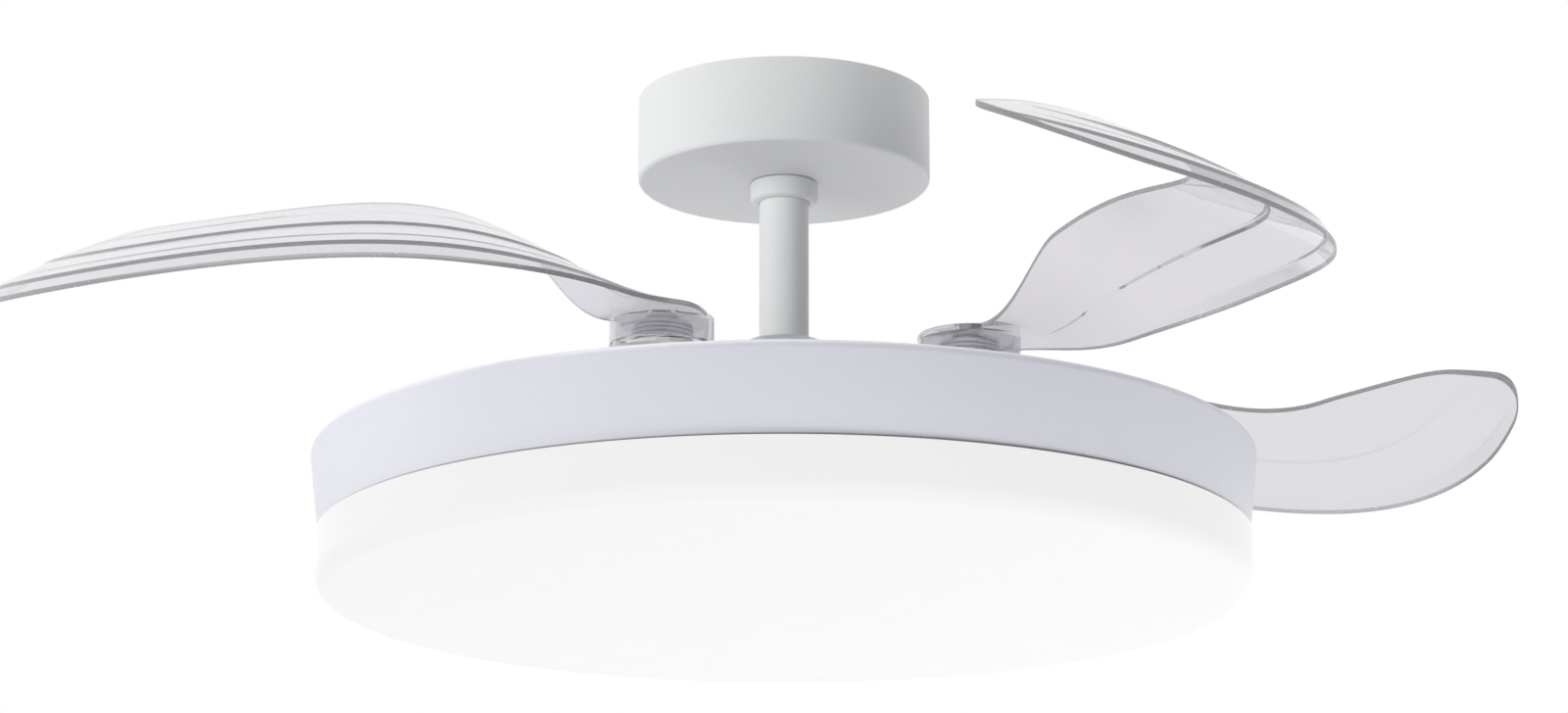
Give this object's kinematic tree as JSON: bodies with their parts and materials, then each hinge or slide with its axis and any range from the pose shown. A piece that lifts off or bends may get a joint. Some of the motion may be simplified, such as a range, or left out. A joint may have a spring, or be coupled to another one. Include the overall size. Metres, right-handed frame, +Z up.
{
  "type": "retractable blade ceiling fan",
  "caption": "Ceiling fan with a round canopy and short downrod, a shallow drum lamp below, and clear curved blades that fold in over the lamp.",
  "frame": {"origin": "middle of the bracket's upper face, which lies on the ceiling", "axes": "+Z up into the ceiling, along the downrod and the fan's axis; the fan hangs in -Z; -Y faces the viewer of the picture"},
  "size_m": [0.8256, 0.8256, 0.276],
  "materials": {
    "lamp_lacquer": "satin lilac-white lacquer on spun sheet steel",
    "canopy_paint": "fine satin white powder coat",
    "opal_plastic": "opal acrylic, lit evenly from inside",
    "clear_plastic": "polished clear plastic with a slight grey tint",
    "zinc_steel": "zinc plated",
    "dark_steel": "dark electrical steel",
    "cast_aluminium": "fine cast, bead blasted",
    "bearing_steel": "ground",
    "copper": "enamelled wire",
    "nylon": "natural moulded nylon",
    "rubber": "matt",
    "board_white": "white solder mask on an aluminium board",
    "grey_plastic": "moulded"
  },
  "bodies": {
    "fixed": {"ceiling_bracket": "zinc_steel", "hanger_flange": "zinc_steel", "hanger_bolt_left": "zinc_steel", "hanger_bolt_right": "zinc_steel", "hanger_pin": "zinc_steel", "downrod": "canopy_paint", "canopy": "canopy_paint", "canopy_collar": "canopy_paint", "collar_screw": "dark_steel", "terminal_block": "nylon", "receiver_box": "grey_plastic", "motor_coupler": "cast_aluminium", "coupler_pin": "zinc_steel", "motor_shaft": "bearing_steel", "lower_bearing": "bearing_steel", "upper_bearing": "bearing_steel", "stator_core": "dark_steel", "stator_winding": "copper", "lamp_housing": "lamp_lacquer", "led_board": "board_white", "board_standoff_1": "zinc_steel", "board_standoff_2": "zinc_steel", "board_standoff_3": "zinc_steel", "led_driver": "grey_plastic", "shaft_nut": "zinc_steel"},
    "cover": {"lamp_cover": "opal_plastic"},
    "rotor": {"rotor_lower_cover": "cast_aluminium", "rotor_upper_cover": "cast_aluminium", "magnet_ring": "dark_steel", "blade_carrier": "zinc_steel", "gear_hub": "nylon", "gear_retainer": "zinc_steel", "retainer_screw_1": "zinc_steel", "retainer_screw_2": "zinc_steel", "retainer_screw_3": "zinc_steel", "retainer_screw_4": "zinc_steel", "gear_stop_1": "rubber", "gear_stop_2": "rubber", "pivot_pin_1": "zinc_steel", "pivot_pin_2": "zinc_steel", "pivot_pin_3": "zinc_steel", "pivot_pin_4": "zinc_steel", "return_spring_1": "bearing_steel", "return_spring_2": "bearing_steel", "return_spring_3": "bearing_steel", "return_spring_4": "bearing_steel"},
    "sync": {"sync_gear": "nylon"},
    "wing_1": {"blade_1": "clear_plastic", "blade_gear_1": "nylon"},
    "wing_2": {"blade_2": "clear_plastic", "blade_gear_2": "nylon"},
    "wing_3": {"blade_3": "clear_plastic", "blade_gear_3": "nylon"},
    "wing_4": {"blade_4": "clear_plastic", "blade_gear_4": "nylon"}
  },
  "joints": [
    {"name": "rotor_spin", "type": "hinge", "parent": "fixed", "child": "rotor", "pos_m": [0, 0, -0.17], "axis": [0, 0, 1], "continuous": true},
    {"name": "sync_turn", "type": "hinge", "parent": "rotor", "child": "sync", "pos_m": [0, 0, -0.166], "axis": [0, 0, 1], "range_deg": [0, 33.05]},
    {"name": "blade_fold_1", "type": "hinge", "parent": "rotor", "child": "wing_1", "pos_m": [0.09645, -0.06263, -0.16], "axis": [0, 0, 1], "range_deg": [-119, 0]},
    {"name": "blade_fold_2", "type": "hinge", "parent": "rotor", "child": "wing_2", "pos_m": [0.06263, 0.09645, -0.16], "axis": [0, 0, 1], "range_deg": [-119, 0]},
    {"name": "blade_fold_3", "type": "hinge", "parent": "rotor", "child": "wing_3", "pos_m": [-0.09645, 0.06263, -0.16], "axis": [0, 0, 1], "range_deg": [-119, 0]},
    {"name": "blade_fold_4", "type": "hinge", "parent": "rotor", "child": "wing_4", "pos_m": [-0.06263, -0.09645, -0.16], "axis": [0, 0, 1], "range_deg": [-119, 0]},
    {"name": "cover_twist", "type": "hinge", "parent": "fixed", "child": "cover", "pos_m": [0, 0, -0.246], "axis": [0, 0, 1], "range_deg": [0, 12]}
  ],
  "couplings": [
    {"joint": "blade_fold_1", "follows": "sync_turn", "ratio": -3.6},
    {"joint": "blade_fold_2", "follows": "sync_turn", "ratio": -3.6},
    {"joint": "blade_fold_3", "follows": "sync_turn", "ratio": -3.6},
    {"joint": "blade_fold_4", "follows": "sync_turn", "ratio": -3.6}
  ]
}
